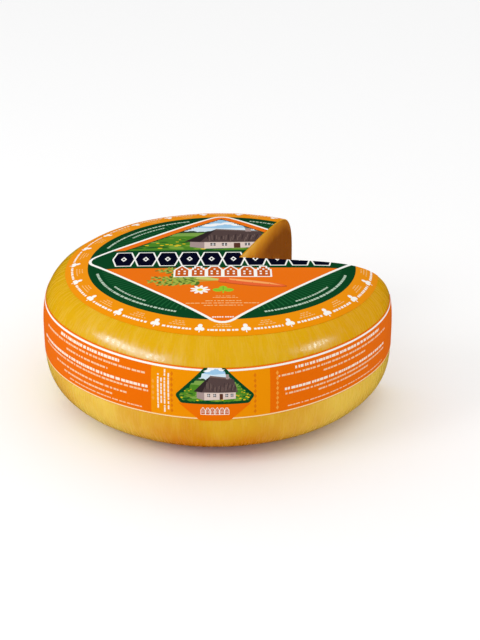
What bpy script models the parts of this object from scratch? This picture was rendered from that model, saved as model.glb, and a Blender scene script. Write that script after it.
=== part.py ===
"""A wheel of carrot cheese: low and round, with full shoulders and a wedge cut out at its back right.

A round paper label lies on the top and a paper band runs round the side, and both end at the cut.
Metres, +Z up. The origin is on the base, on the wheel's axis, and the middle of the band faces -Y.
"""
import math

import bmesh
import bpy
from mathutils import Vector

# The wheel
WHEEL_RADIUS = 0.125
WHEEL_HEIGHT = 0.095
WIDEST_HEIGHT = 0.041
TOP_EXPONENTS = (7.0, 4.0)
BASE_FLAT_RADIUS = 0.069
BASE_EXPONENTS = (2.4, 3.2)

# The missing wedge, seen from above: where its two walls meet, and which way each one runs
NOTCH_TIP = Vector((0.0160, 0.0065))
FRONT_WALL_DIRECTION = math.radians(-7.8)
BACK_WALL_DIRECTION = math.radians(67.3)

# The paper on the rind
PAPER_GAP = 0.00035
PAPER_THICKNESS = 0.0004
LABEL_RADIUS = 0.1111
LABEL_CENTRE = Vector((0.0031, 0.0023))
BAND_LOWER_EDGE = 0.0369
BAND_UPPER_EDGE = 0.0732
BAND_RISE = 0.00185
BAND_TAPER = 0.058

# How finely the round forms are divided
WHEEL_SEGMENTS = 80
TOP_STEPS = 16
BASE_STEPS = 12
LABEL_SEGMENTS = 72
LABEL_RINGS = 10
BAND_ROWS = 8
MERGE_DISTANCE = 1e-6


def dome_height(radius):
    """Height of the top's surface at a distance from the wheel's axis."""
    across, up = TOP_EXPONENTS
    share = min(radius / WHEEL_RADIUS, 1.0)
    return WIDEST_HEIGHT + (WHEEL_HEIGHT - WIDEST_HEIGHT) * (1.0 - share ** across) ** (1.0 / up)


def side_radius(height):
    """Distance of the side's surface from the wheel's axis at a height above the base."""
    if height > WIDEST_HEIGHT:
        across, up = TOP_EXPONENTS
        share = (height - WIDEST_HEIGHT) / (WHEEL_HEIGHT - WIDEST_HEIGHT)
        return WHEEL_RADIUS * (1.0 - share ** up) ** (1.0 / across)
    across, up = BASE_EXPONENTS
    share = (WIDEST_HEIGHT - height) / WIDEST_HEIGHT
    return BASE_FLAT_RADIUS + (WHEEL_RADIUS - BASE_FLAT_RADIUS) * (1.0 - share ** up) ** (1.0 / across)


def band_height(level, away):
    """Height of the band, from its level at the front and the way out from the axis there.

    It rises a little between front, sides and back, and is narrower at +X than at -X.
    """
    middle = (BAND_LOWER_EDGE + BAND_UPPER_EDGE) / 2.0
    rise = BAND_RISE * (2.0 * away.x * away.y) ** 2
    return middle + (level - middle) * (1.0 - BAND_TAPER * away.x) + rise


def wheel_outline():
    """Half of the wheel's section, from the middle of the top, down the side, to the middle of the base."""
    outline = [(0.0, WHEEL_HEIGHT)]
    across, up = TOP_EXPONENTS
    for step in range(1, TOP_STEPS + 1):
        turn = step / TOP_STEPS * math.pi / 2.0
        height_share = max(math.cos(turn), 0.0) ** (2.0 / up)
        outline.append((WHEEL_RADIUS * math.sin(turn) ** (2.0 / across),
                        WIDEST_HEIGHT + (WHEEL_HEIGHT - WIDEST_HEIGHT) * height_share))
    across, up = BASE_EXPONENTS
    for step in range(BASE_STEPS - 1, -1, -1):
        turn = step / BASE_STEPS * math.pi / 2.0
        tuck = (WHEEL_RADIUS - BASE_FLAT_RADIUS) * math.sin(turn) ** (2.0 / across)
        outline.append((BASE_FLAT_RADIUS + tuck, WIDEST_HEIGHT * (1.0 - math.cos(turn) ** (2.0 / up))))
    outline.append((0.0, 0.0))
    return outline


def turned(points, segments, closed):
    """Turn a line of (radius, height) points about +Z and return the bmesh."""
    mesh = bmesh.new()
    verts = [mesh.verts.new((radius, 0.0, height)) for radius, height in points]
    edges = [mesh.edges.new(pair) for pair in zip(verts, verts[1:])]
    if closed:
        edges.append(mesh.edges.new((verts[-1], verts[0])))
    bmesh.ops.spin(mesh, geom=verts + edges, axis=(0.0, 0.0, 1.0), cent=(0.0, 0.0, 0.0),
                   steps=segments, angle=2.0 * math.pi, use_merge=True)
    bmesh.ops.remove_doubles(mesh, verts=mesh.verts, dist=MERGE_DISTANCE)
    bmesh.ops.recalc_face_normals(mesh, faces=mesh.faces)
    return mesh


def add_object(name, mesh):
    """Put a bmesh into the scene as a named object."""
    data = bpy.data.meshes.new(name)
    mesh.to_mesh(data)
    mesh.free()
    made = bpy.data.objects.new(name, data)
    bpy.context.collection.objects.link(made)
    return made


def give_material(made, colour, roughness):
    """Give an object its own plain material."""
    material = bpy.data.materials.new(made.name)
    material.use_nodes = True
    shader = material.node_tree.nodes["Principled BSDF"]
    shader.inputs["Base Color"].default_value = (*colour, 1.0)
    shader.inputs["Roughness"].default_value = roughness
    shader.inputs["Metallic"].default_value = 0.0
    made.data.materials.append(material)


def cut_notch(made, cutter):
    """Take the missing wedge out of an object and shade its round faces smooth."""
    cut = made.modifiers.new("missing_wedge", "BOOLEAN")
    cut.operation = "DIFFERENCE"
    cut.solver = "EXACT"
    cut.object = cutter
    made.data.shade_smooth()
    made.data.set_sharp_from_angle(angle=math.radians(35.0))


def notch_cutter():
    """The missing wedge as a tall prism that reaches past the wheel on every open side."""
    reach = 2.0 * WHEEL_RADIUS
    floor, ceiling = -0.2 * WHEEL_HEIGHT, 1.2 * WHEEL_HEIGHT
    front_arm = reach * Vector((math.cos(FRONT_WALL_DIRECTION), math.sin(FRONT_WALL_DIRECTION)))
    back_arm = reach * Vector((math.cos(BACK_WALL_DIRECTION), math.sin(BACK_WALL_DIRECTION)))
    corners = [NOTCH_TIP, NOTCH_TIP + front_arm, NOTCH_TIP + front_arm + back_arm, NOTCH_TIP + back_arm]
    mesh = bmesh.new()
    base = mesh.faces.new([mesh.verts.new((corner.x, corner.y, floor)) for corner in corners])
    raised = bmesh.ops.extrude_face_region(mesh, geom=[base])["geom"]
    tops = [item for item in raised if isinstance(item, bmesh.types.BMVert)]
    bmesh.ops.translate(mesh, verts=tops, vec=(0.0, 0.0, ceiling - floor))
    bmesh.ops.recalc_face_normals(mesh, faces=mesh.faces)
    cutter = add_object("notch_cutter", mesh)
    cutter.display_type = "WIRE"
    cutter.hide_render = True
    return cutter


def add_cheese(cutter):
    """The wheel itself, one solid from rind to middle."""
    cheese = add_object("cheese", turned(wheel_outline(), WHEEL_SEGMENTS, closed=False))
    give_material(cheese, (0.80, 0.47, 0.08), 0.30)
    cut_notch(cheese, cutter)


def add_top_label(cutter):
    """The round label: a flat disc of paper, laid over the dome."""
    rings = [LABEL_RADIUS * (ring / LABEL_RINGS) ** (1.0 / 3.0) for ring in range(LABEL_RINGS + 1)]
    section = [(radius, 0.0) for radius in rings] + [(radius, PAPER_THICKNESS) for radius in reversed(rings)]
    mesh = turned(section, LABEL_SEGMENTS, closed=False)
    for vert in mesh.verts:
        vert.co.xy += LABEL_CENTRE
        vert.co.z += dome_height(vert.co.xy.length) + PAPER_GAP
    label = add_object("top_label", mesh)
    give_material(label, (0.85, 0.30, 0.02), 0.35)
    cut_notch(label, cutter)


def add_side_band(cutter):
    """The band: a strip of paper that follows the side's bulge."""
    width = BAND_UPPER_EDGE - BAND_LOWER_EDGE
    levels = [BAND_LOWER_EDGE + width * row / BAND_ROWS for row in range(BAND_ROWS + 1)]
    inside = WHEEL_RADIUS
    outside = WHEEL_RADIUS + PAPER_THICKNESS
    section = [(inside, level) for level in levels] + [(outside, level) for level in reversed(levels)]
    mesh = turned(section, WHEEL_SEGMENTS, closed=True)
    for vert in mesh.verts:
        away = vert.co.xy.normalized()
        layer = vert.co.xy.length - inside
        vert.co.z = band_height(vert.co.z, away)
        vert.co.xy = away * (side_radius(vert.co.z) + PAPER_GAP + layer)
    band = add_object("side_band", mesh)
    give_material(band, (0.85, 0.27, 0.02), 0.35)
    cut_notch(band, cutter)


def main():
    for old in list(bpy.data.objects):
        bpy.data.objects.remove(old, do_unlink=True)
    cutter = notch_cutter()
    add_cheese(cutter)
    add_top_label(cutter)
    add_side_band(cutter)


main()
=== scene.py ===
import math
import random

import bmesh
import bpy
import numpy as np
from mathutils import Matrix, Vector, noise
from mathutils.geometry import delaunay_2d_cdt


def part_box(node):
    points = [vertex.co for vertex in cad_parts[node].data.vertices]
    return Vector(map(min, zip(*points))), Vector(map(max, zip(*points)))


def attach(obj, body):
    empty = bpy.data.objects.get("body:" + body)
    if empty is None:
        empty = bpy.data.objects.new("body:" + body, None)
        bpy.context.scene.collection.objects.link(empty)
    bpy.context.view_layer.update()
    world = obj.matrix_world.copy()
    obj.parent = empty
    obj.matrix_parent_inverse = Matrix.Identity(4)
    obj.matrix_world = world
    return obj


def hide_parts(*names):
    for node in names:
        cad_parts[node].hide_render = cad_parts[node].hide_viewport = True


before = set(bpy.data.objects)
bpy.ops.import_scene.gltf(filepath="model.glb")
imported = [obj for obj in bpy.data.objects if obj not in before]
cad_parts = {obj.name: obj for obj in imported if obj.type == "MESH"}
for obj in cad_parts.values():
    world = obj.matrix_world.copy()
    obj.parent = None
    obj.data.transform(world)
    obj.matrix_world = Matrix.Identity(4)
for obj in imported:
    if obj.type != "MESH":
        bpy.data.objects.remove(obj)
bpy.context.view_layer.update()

MM = 0.001

# The wheel's form, as in the solids. Each wall of the notch has a direction, and 1 where the cheese is on
# its left or -1 where it is on its right.
low_corner, high_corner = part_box("cheese")
WHEEL_RADIUS = -low_corner.y
WHEEL_HEIGHT = high_corner.z
WIDEST_HEIGHT = 0.041
TOP_EXPONENTS = (7.0, 4.0)
BASE_FLAT_RADIUS = 0.069
BASE_EXPONENTS = (2.4, 3.2)
NOTCH_TIP = np.array([0.0160, 0.0065])
FRONT_WALL_DIRECTION = math.radians(-7.8)
BACK_WALL_DIRECTION = math.radians(67.3)
WALLS = ((BACK_WALL_DIRECTION, 1.0), (FRONT_WALL_DIRECTION, -1.0))
LABEL_RADIUS = 0.1111
LABEL_CENTRE = np.array([0.0031, 0.0023])
BAND_LOWER_EDGE = 0.0369
BAND_UPPER_EDGE = 0.0732
BAND_RISE = 0.00185
BAND_TAPER = 0.058

# What the real surface adds to it
PAPER_PROUD = 0.00025
PAPER_SUNK = 0.0001
PAPER_SETBACK = 0.0004
SWELL_DEPTH = 0.0003
SWELL_SCALE = 22.0
RIPPLE_DEPTH = 0.00005
RIPPLE_SCALE = 110.0
CUT_EDGE_ROUNDING = 0.0004
CUT_WAVE_DEPTH = 0.00022

# The camera, where the photograph was taken from
CAMERA_PLACE = (0.0, -0.916, 0.486)
CAMERA_PITCH = math.radians(25.53)
CAMERA_YAW = math.radians(1.0)
CAMERA_LENS = 78.75


def dome_height(radius):
    """Height of the top's surface at a distance from the wheel's axis."""
    across, up = TOP_EXPONENTS
    share = np.minimum(radius / WHEEL_RADIUS, 1.0)
    return WIDEST_HEIGHT + (WHEEL_HEIGHT - WIDEST_HEIGHT) * (1.0 - share ** across) ** (1.0 / up)


def side_radius(height):
    """Distance of the side's surface from the wheel's axis at a height above the base."""
    across, up = TOP_EXPONENTS
    above = np.clip((height - WIDEST_HEIGHT) / (WHEEL_HEIGHT - WIDEST_HEIGHT), 0.0, 1.0)
    upper = WHEEL_RADIUS * (1.0 - above ** up) ** (1.0 / across)
    across, up = BASE_EXPONENTS
    below = np.clip((WIDEST_HEIGHT - height) / WIDEST_HEIGHT, 0.0, 1.0)
    lower = BASE_FLAT_RADIUS + (WHEEL_RADIUS - BASE_FLAT_RADIUS) * (1.0 - below ** up) ** (1.0 / across)
    return np.where(height > WIDEST_HEIGHT, upper, lower)


def band_height(level, turn):
    """Height of the band, from its level at the front and its angle about the wheel's axis.

    It rises a little between front, sides and back, and is narrower at +X than at -X.
    """
    middle = (BAND_LOWER_EDGE + BAND_UPPER_EDGE) / 2.0
    rise = BAND_RISE * np.sin(2.0 * turn) ** 2
    return middle + (level - middle) * (1.0 - BAND_TAPER * np.cos(turn)) + rise


def slope_of(curve, at):
    """How steeply a curve rises at some places, by a small step to either side."""
    nudge = 1e-5
    return (curve(at + nudge) - curve(at - nudge)) / (2.0 * nudge)


def heading(direction):
    """The unit vector that points in a direction, in radians, seen from above."""
    return np.array([math.cos(direction), math.sin(direction)])


def left_of(way):
    """The unit vector a quarter turn to the left of another one."""
    return np.array([-way[1], way[0]])


def to_circle(start, way, radius):
    """How far it is from a point, along a unit vector, to a circle round (0, 0)."""
    middle = start @ way
    return -middle + np.sqrt(middle ** 2 - start @ start + radius ** 2)


def paper_end(direction, side, centre, radius):
    """The angle about a centre at which paper with a radius stops, a little way short of a wall."""
    way = heading(direction)
    start = NOTCH_TIP - centre + side * left_of(way) * PAPER_SETBACK
    x, y = start + to_circle(start, way, radius) * way
    return math.atan2(y, x)


def swollen(points, normals):
    """Points moved along their normals by the slow swells of a wheel that was pressed and stored."""
    depth = [noise.noise(Vector(point) * SWELL_SCALE) * SWELL_DEPTH for point in points]
    return points + normals * np.array(depth)[:, None]


def lifted(points, normals, lift):
    """Points moved along their normals by the swells and a lift, and those normals at unit length."""
    normals /= np.linalg.norm(normals, axis=1)[:, None]
    return swollen(points, normals) + normals * lift, normals


def on_top(drawn, lift):
    """Label points in millimetres, laid over the dome at a lift above it, and the dome's normals there."""
    flat = drawn * MM + LABEL_CENTRE
    radius = np.maximum(np.hypot(flat[:, 0], flat[:, 1]), 1e-6)
    outward = -slope_of(dome_height, radius)[:, None] * flat / radius[:, None]
    normals = np.column_stack([outward, np.ones(len(flat))])
    return lifted(np.column_stack([flat, dome_height(radius)]), normals, lift)


def on_side(drawn, lift):
    """Band points laid on the side: millimetres along the wheel from its front, and height there."""
    turn = drawn[:, 0] * MM / WHEEL_RADIUS - math.pi / 2.0
    away = np.column_stack([np.cos(turn), np.sin(turn)])
    height = band_height(drawn[:, 1] * MM, turn)
    normals = np.column_stack([away, -slope_of(side_radius, height)])
    return lifted(np.column_stack([away * side_radius(height)[:, None], height]), normals, lift)


# Outlines. Each one is a list of (x, y) points in millimetres, anticlockwise.
DRAWING_MERGE_DISTANCE = 1e-4
ARC_STEP = 2.5


def ellipse(x, y, half_width, half_height=None, turn=0.0, steps=14):
    half_height = half_width if half_height is None else half_height
    angles = [2.0 * math.pi * step / steps for step in range(steps)]
    return placed([(half_width * math.cos(a), half_height * math.sin(a)) for a in angles], x, y, turn)


def placed(outline, x, y, turn=0.0, size=1.0):
    """An outline turned by an angle in radians, resized, and moved to a place."""
    c, s = math.cos(turn) * size, math.sin(turn) * size
    return [(x + px * c - py * s, y + px * s + py * c) for px, py in outline]


def mirrored(x, right_half):
    """An outline from its right half, listed from the foot up, and the mirror image of that across x."""
    return [(x + off, y) for off, y in right_half] + [(x - off, y) for off, y in right_half[::-1]]


def rectangle(left, low, right, high):
    return [(left, low), (right, low), (right, high), (left, high)]


def lozenge(x, y, half_width, half_height):
    return [(x - half_width, y), (x, y - half_height), (x + half_width, y), (x, y + half_height)]


def bar(x, y, length, thickness, turn=0.0):
    half, rise = length / 2.0, thickness / 2.0
    return placed(rectangle(-half, -rise, half, rise), x, y, turn)


def spot(radius, turn):
    """The point at a radius from (0, 0) and an angle in radians."""
    return (radius * math.cos(turn), radius * math.sin(turn))


def arc(radius, start, end, steps):
    """Points along an arc round (0, 0), between two angles in radians."""
    return [spot(radius, start + (end - start) * step / steps) for step in range(steps + 1)]


def arc_bar(radius, start, end, thickness):
    """A bar bent round (0, 0), between two angles in degrees."""
    count = max(1, round((end - start) / ARC_STEP))
    outer, inner = (arc(radius + side * thickness / 2.0, math.radians(start), math.radians(end), count)
                    for side in (1.0, -1.0))
    return outer + inner[::-1]


def each_corner(outline):
    """Each corner of an outline, between the one before it and the one after it."""
    points = [Vector(point) for point in outline]
    return zip(points[-1:] + points[:-1], points, points[1:] + points[:1])


def outset(outline, distance):
    """An outline with each side moved out by a distance, or in by a negative one."""
    moved = []
    for before, here, after in each_corner(outline):
        first, second = (here - before).normalized(), (after - here).normalized()
        out_first, out_second = Vector((first.y, -first.x)), Vector((second.y, -second.x))
        corner = (out_first + out_second) / (1.0 + out_first.dot(out_second))
        moved.append(tuple(here + corner * distance))
    return moved


def rounded(outline, radius, steps=5):
    """A convex outline with its corners rounded."""
    points = []
    for before, here, after in each_corner(outline):
        to_before, to_after = (before - here).normalized(), (after - here).normalized()
        half = to_before.angle(to_after) / 2.0
        middle = here + (to_before + to_after).normalized() * radius / math.sin(half)
        first = here + to_before * radius / math.tan(half) - middle
        start = math.atan2(first.y, first.x)
        points += placed(arc(radius, start, start + math.pi - 2.0 * half, steps), *middle)
    return points


def divided(outline, step):
    """The outline with points added, so that it can follow a curved surface."""
    points = []
    for (x0, y0), (x1, y1) in zip(outline, outline[1:] + outline[:1]):
        count = max(1, math.ceil(math.hypot(x1 - x0, y1 - y0) / step))
        points += [(x0 + (x1 - x0) * n / count, y0 + (y1 - y0) * n / count) for n in range(count)]
    return points


def inside(points, outline):
    """Which of the points lie inside the outline."""
    starts = np.array(outline)
    ends = np.roll(starts, -1, axis=0)
    x, y = points[:, 0:1], points[:, 1:2]
    spans = (starts[:, 1] > y) != (ends[:, 1] > y)
    rise = ends[:, 1] - starts[:, 1]
    rise[rise == 0.0] = 1.0
    meets = starts[:, 0] + (y - starts[:, 1]) * (ends[:, 0] - starts[:, 0]) / rise
    return np.count_nonzero(spans & (x < meets), axis=1) % 2 == 1


def filled(points, edges, outline, merge_distance):
    """Triangles that fill an outline, between points and along edges given by the points' numbers.

    Returns the places of the triangles' corners, the corners' numbers for each triangle, and the number that
    each of those places had among the points.
    """
    cut = delaunay_2d_cdt([Vector(point) for point in points], edges, [], 0, merge_distance)
    flat, faces = np.array([tuple(vert) for vert in cut[0]]), np.array(cut[2])
    faces = faces[inside(flat[faces].mean(axis=1), outline)]
    return flat, faces, [origins[0] if origins else -1 for origins in cut[3]]


class Drawing:
    """Fields of plain colour, each painted over those before it, inside one outer outline."""

    def __init__(self, outline, ground, step):
        self.outline = divided(outline, step)
        self.ground = ground
        self.step = step
        self.shapes = []

    def add(self, colour, outline, clip=None):
        self.shapes.append((colour, divided(outline, self.step), clip))

    def triangles(self):
        """The drawing cut into triangles: points, corner numbers, and a colour for each triangle."""
        points, edges = [], []
        for outline in [self.outline] + [shape[1] for shape in self.shapes]:
            first = len(points)
            points += outline
            edges += [(first + n, first + (n + 1) % len(outline)) for n in range(len(outline))]
        low, high = np.min(self.outline, axis=0), np.max(self.outline, axis=0)
        for row, y in enumerate(np.arange(low[1] + self.step, high[1], self.step)):
            shift = self.step * (0.75 if row % 2 else 0.25)
            points += [(float(x), float(y)) for x in np.arange(low[0] + shift, high[0], self.step)]
        flat, faces, _ = filled(points, edges, self.outline, DRAWING_MERGE_DISTANCE)
        middles = flat[faces].mean(axis=1)
        colours = np.full(len(faces), self.ground, dtype=object)
        for colour, outline, clip in self.shapes:
            low, high = np.min(outline, axis=0), np.max(outline, axis=0)
            near = np.flatnonzero(np.all((middles >= low) & (middles <= high), axis=1))
            near = near[inside(middles[near], outline)] if len(near) else near
            if clip and len(near):
                near = near[inside(middles[near], clip)]
            colours[near] = colour
        used, renumbered = np.unique(faces, return_inverse=True)
        return flat[used], renumbered.reshape(-1, 3), colours


def paper_piece(name, drawing, surface, materials, edge_colour):
    """A thin closed sheet that follows a surface, with print on its outer face and one colour on its edge."""
    flat, faces, colours = drawing.triangles()
    outer, normals = surface(flat, PAPER_PROUD)
    inner, _ = surface(flat, -PAPER_SUNK)
    count = len(flat)
    sides = np.concatenate([faces[:, [0, 1]], faces[:, [1, 2]], faces[:, [2, 0]]])
    keys = {tuple(side) for side in sides.tolist()}
    rim = [(a, b) for a, b in keys if (b, a) not in keys]
    polygons = [tuple(face) for face in faces.tolist()]
    polygons += [(c + count, b + count, a + count) for a, b, c in faces.tolist()]
    polygons += [(b, a, a + count, b + count) for a, b in rim]
    made = add_mesh(name, np.concatenate([outer, inner]).tolist(), polygons)
    names = sorted(set(colours) | {"bare_paper", edge_colour})
    for colour in names:
        made.data.materials.append(materials[colour])
    slots = [names.index(colour) for colour in colours]
    slots += [names.index("bare_paper")] * len(faces) + [names.index(edge_colour)] * len(rim)
    made.data.polygons.foreach_set("material_index", slots)
    smooth = np.concatenate([normals, -normals])
    corner_normals = []
    for index, polygon in enumerate(made.data.polygons):
        if index < 2 * len(faces):
            corner_normals += [smooth[vert] for vert in polygon.vertices]
        else:
            corner_normals += [polygon.normal] * len(polygon.vertices)
    made.data.normals_split_custom_set(corner_normals)
    return made


def add_object(name, data):
    made = bpy.data.objects.new(name, data)
    bpy.context.collection.objects.link(made)
    return made


def add_mesh(name, points, polygons):
    data = bpy.data.meshes.new(name)
    data.from_pydata(points, [], polygons)
    data.update()
    return add_object(name, data)


# Motifs for the print, each drawn round (0, 0)

def row_of_bars(art, colour, x, y, width, thickness, chance, turn=0.0, longest=3.4):
    """A row of short plain bars, as small print looks from a step away."""
    along = -width / 2.0
    while along < width / 2.0 - 0.8:
        length = min(chance.uniform(1.0, longest), width / 2.0 - along)
        off_x, off_y = spot(along + length / 2.0, turn)
        art.add(colour, bar(x + off_x, y + off_y, length, thickness, turn))
        along += length + chance.choice((0.45, 0.45, 1.1))


def add_clover(art, x, y, turn, size):
    for lean in (-125.0, 0.0, 125.0):
        up = math.pi / 2.0 + math.radians(lean)
        art.add("white", placed(ellipse(*spot(1.9, up), 1.9, 1.6, up, 10), x, y, turn, size))
    art.add("white", placed(mirrored(0.0, [(0.4, -4.2), (0.3, 0.0)]), x, y, turn, size))


POINTED_HOUSE = [(-4.5, -9.0), (4.5, -9.0), (4.5, 1.6), (0.0, 8.4), (-4.5, 1.6)]
STEPPED_HOUSE = mirrored(0.0, [(4.5, -9.0), (4.5, 1.8), (3.1, 1.8), (3.1, 4.4), (1.6, 4.4), (1.6, 7.4)])
HIPPED_HOUSE = mirrored(0.0, [(4.5, -9.0), (4.5, 2.2), (2.2, 7.2)])
HOUSES = (POINTED_HOUSE, STEPPED_HOUSE, HIPPED_HOUSE, POINTED_HOUSE, HIPPED_HOUSE, STEPPED_HOUSE)
HOUSE_PITCH = 11.4
HOUSE_EDGE = 1.25
HOUSE_PANES = [bar(x, y, 1.5, 2.3) for y in (-0.6, -4.6) for x in (-2.0, 2.0)] + [bar(0.0, 3.2, 1.3, 1.9)]


def add_house_row(art, x, y, size):
    """Six gabled town houses side by side, outlined in white."""
    first = x - HOUSE_PITCH * size * (len(HOUSES) - 1) / 2.0
    places = [first + HOUSE_PITCH * size * number for number in range(len(HOUSES))]
    for front, place in zip(HOUSES, places):
        art.add("white", placed(outset(front, HOUSE_EDGE), place, y, 0.0, size))
    for front, place in zip(HOUSES, places):
        art.add("brown_orange", placed(front, place, y, 0.0, size))
        for pane in HOUSE_PANES:
            art.add("white", placed(pane, place, y, 0.0, size))


# Each frond of the carrot's leaves: how far it leans from the carrot's line, and its length
FRONDS = ((0.27, 41.0), (0.14, 46.0), (0.0, 34.0), (-0.14, 46.0), (-0.27, 49.0), (-0.4, 43.0))
LEAFLETS = 13
LEAF_SHADES = ("leaf_mid", "leaf_light", "leaf_dark", "leaf_light")


def add_carrot(art, x, y, turn, chance):
    """A carrot that points to the right, with its leaves to the left."""
    def put(colour, outline):
        art.add(colour, placed(outline, x, y, turn))

    for frond, (lean, length) in enumerate(FRONDS):
        way = math.pi - lean
        put("leaf_light", bar(*spot(length / 2.0, way), length, 0.8, way))
        for leaf in range(LEAFLETS):
            outwards = leaf / (LEAFLETS - 1)
            for side in (-1.0, 1.0):
                reach = (5.4 + chance.uniform(-0.9, 0.9)) * (1.0 - 0.55 * outwards)
                tilt = way + side * chance.uniform(0.55, 1.15)
                leaflet = ellipse(*spot(reach * 0.62, tilt), reach * 0.62, reach * 0.3, tilt, 8)
                shade = LEAF_SHADES[(frond + leaf + (side > 0.0)) % len(LEAF_SHADES)]
                put(shade, placed(leaflet, *spot(length * (0.36 + 0.64 * outwards), way)))
    put("stalk", [(-17.0, -2.6), (1.0, -1.3), (1.0, 1.3), (-17.0, 2.6)])
    head, back = [(0.0, 4.0), (-1.3, 2.4), (-1.7, 0.0)], [(42.0, 2.4), (34.0, 3.9), (24.0, 4.8), (12.0, 4.6)]
    put("carrot_dark", [*head, (-1.3, -2.6), (0.0, -4.2), (12.0, -4.8), (24.0, -5.0), (34.0, -4.2),
                        (42.0, -2.9), (46.5, -1.2), (46.5, 0.5), *back])
    put("carrot", [*head, (-1.0, -2.6), (12.0, -3.4), (24.0, -3.5), (34.0, -2.9), (43.0, -1.6), (45.5, 0.3),
                   *back])
    put("carrot_light", [(5.0, 3.7), (6.0, 1.5), (14.0, 1.1), (28.0, 0.7), (43.0, 0.6), (34.0, 3.2),
                         (24.0, 4.1), (12.0, 4.0)])
    for mark in range(6):
        put("carrot_dark", bar(4.0 + 6.0 * mark, 1.2 if mark % 2 else -1.9, 0.4, 1.8 - 0.15 * mark, 0.15))


LANDSCAPE_WIDTH = 120.0


def add_landscape(art, clip, x, y, width, chance):
    """A thatched farmhouse in a flowering meadow, inside a clip outline. y is the meadow's front."""
    def put(colour, outline):
        art.add(colour, placed(outline, x, y, 0.0, width / LANDSCAPE_WIDTH), clip)

    def put_ground(colour, *skyline):
        put(colour, [(-70.0, 0.0), (70.0, 0.0), *skyline])

    put_ground("sky", (70.0, 70.0), (-70.0, 70.0))
    put_ground("pale_sky", (70.0, 39.0), (30.0, 43.0), (0.0, 40.0), (-30.0, 43.0), (-70.0, 39.0))
    for cloud_x, cloud_y, half_width in ((-9.0, 46.0, 6.0), (-3.0, 48.0, 5.0), (6.0, 50.0, 6.0),
                                         (12.0, 47.0, 5.0)):
        put("cloud", ellipse(cloud_x, cloud_y, half_width, half_width * 0.42))
    for tree in range(15):
        tree_x = -46.0 + 6.5 * tree + chance.uniform(-1.5, 1.5)
        put("woods", ellipse(tree_x, 31.0, 4.6, chance.uniform(2.6, 4.6), steps=10))
    put_ground("far_field", (70.0, 31.0), (30.0, 29.5), (-10.0, 31.5), (-70.0, 30.0))
    put_ground("meadow", (70.0, 24.0), (20.0, 22.0), (-25.0, 25.5), (-70.0, 24.0))
    for tuft in range(70):
        tuft_y = chance.uniform(1.0, 22.0)
        tuft_x = chance.uniform(-62.0, 62.0)
        shade = chance.choice(("meadow_dark", "meadow_light", "far_field", "meadow_dark", "leaf_mid"))
        size = 1.2 + (22.0 - tuft_y) * 0.12
        put(shade, ellipse(tuft_x, tuft_y, size * 1.6, size * 0.45, chance.uniform(-0.2, 0.2), 8))
    for bloom in range(46):
        bloom_y = chance.uniform(2.0, 22.0)
        size = 0.45 + (22.0 - bloom_y) * 0.035
        put("yellow", ellipse(chance.uniform(-58.0, 50.0), bloom_y, size * 1.7, size * 0.8, steps=7))

    put("wall_shade", [(-22.0, 6.0), (-12.0, 3.0), (-12.0, 17.0), (-22.0, 17.0)])
    put("wall", [(-12.0, 3.0), (30.0, 5.0), (30.0, 17.0), (-12.0, 17.0)])
    for window_x in (-6.0, 2.0, 18.0, 25.0):
        for colour, wide, high in (("thatch_dark", 3.6, 4.6), ("cloud", 3.6, 0.5), ("cloud", 0.5, 4.6)):
            put(colour, bar(window_x, 10.5, wide, high))
    put("door", [(8.5, 4.1), (13.0, 4.3), (13.0, 13.0), (8.5, 13.0)])
    put("thatch", [(-15.0, 14.5), (33.0, 14.5), (27.0, 35.0), (-4.0, 38.0)])
    put("thatch_dark", [(-26.0, 15.5), (-15.0, 14.5), (-4.0, 38.0), (-12.0, 31.0)])
    for reed in range(26):
        reed_x = -10.0 + 1.65 * reed
        shade = "thatch_light" if reed % 3 else "thatch_dark"
        put(shade, bar(reed_x, 23.0 + chance.uniform(-4.0, 4.0), chance.uniform(5.0, 11.0), 0.55,
                       1.62 - 0.012 * reed))
    put("thatch_light", [(-5.0, 36.6), (27.5, 33.6), (27.0, 35.6), (-4.0, 38.8)])
    put("wall_shade", rectangle(17.0, 34.0, 21.0, 41.0))
    put("thatch_dark", bar(19.0, 41.2, 5.0, 1.2))


def add_daisy(art, x, y, size):
    for petal in range(9):
        turn = 2.0 * math.pi * petal / 9.0
        art.add("white", placed(ellipse(*spot(3.9, turn), 2.6, 1.15, turn, 10), x, y, 0.0, size))
    art.add("yellow", ellipse(x, y, 1.9 * size, steps=12))


SPRIG_LEAF = [(0.0, 0.0), (1.9, -2.3), (4.4, -2.9), (6.4, -1.9), (7.6, 0.0), (6.4, 1.9), (4.4, 2.9),
              (1.9, 2.3)]


def add_sprig(art, x, y):
    """Three broad light-green leaves on a stalk."""
    for turn, size in ((0.25, 1.0), (math.pi / 2.0, 1.05), (math.pi - 0.25, 1.0)):
        for colour, outline in (("light_green", SPRIG_LEAF), ("meadow", bar(3.8, 0.0, 5.2, 0.35))):
            art.add(colour, placed(outline, x, y - 1.6, turn, size))
    art.add("light_green", bar(x, y - 3.6, 1.0, 4.4))


# The round label. Its middle is (0, 0), and -y is towards the front.
DISC_HALF_WIDTH, DISC_HALF_LENGTH, DISC_MIDDLE = 94.8, 90.5, -5.0
DISC_STEPS = 150
DISC_RAYS = 150
LOZENGE = [(0.0, -104.5), (99.5, 1.0), (0.0, 90.5), (-99.5, 1.0)]
LOZENGE_ROUNDING = 11.0
PAST_LOZENGE = 110.0
LOZENGE_LINE = 2.1
STRIP_WIDTH = 5.4
FINE_LINE = 1.2
CROSS_BAND = (-15.0, 17.5)
CROSS_BLOCKS = 10
CROSS_PITCH = 15.6
CROSS_EDGE = 1.1
CROSS_BLOCK = [(-7.2, 1.3), (-4.7, -10.2), (4.7, -10.2), (7.2, 1.3), (4.7, 12.8), (-4.7, 12.8)]
RING_MOTIFS = 22
LABEL_EDGE_STEPS = 240
LABEL_STEP = 3.0


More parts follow.
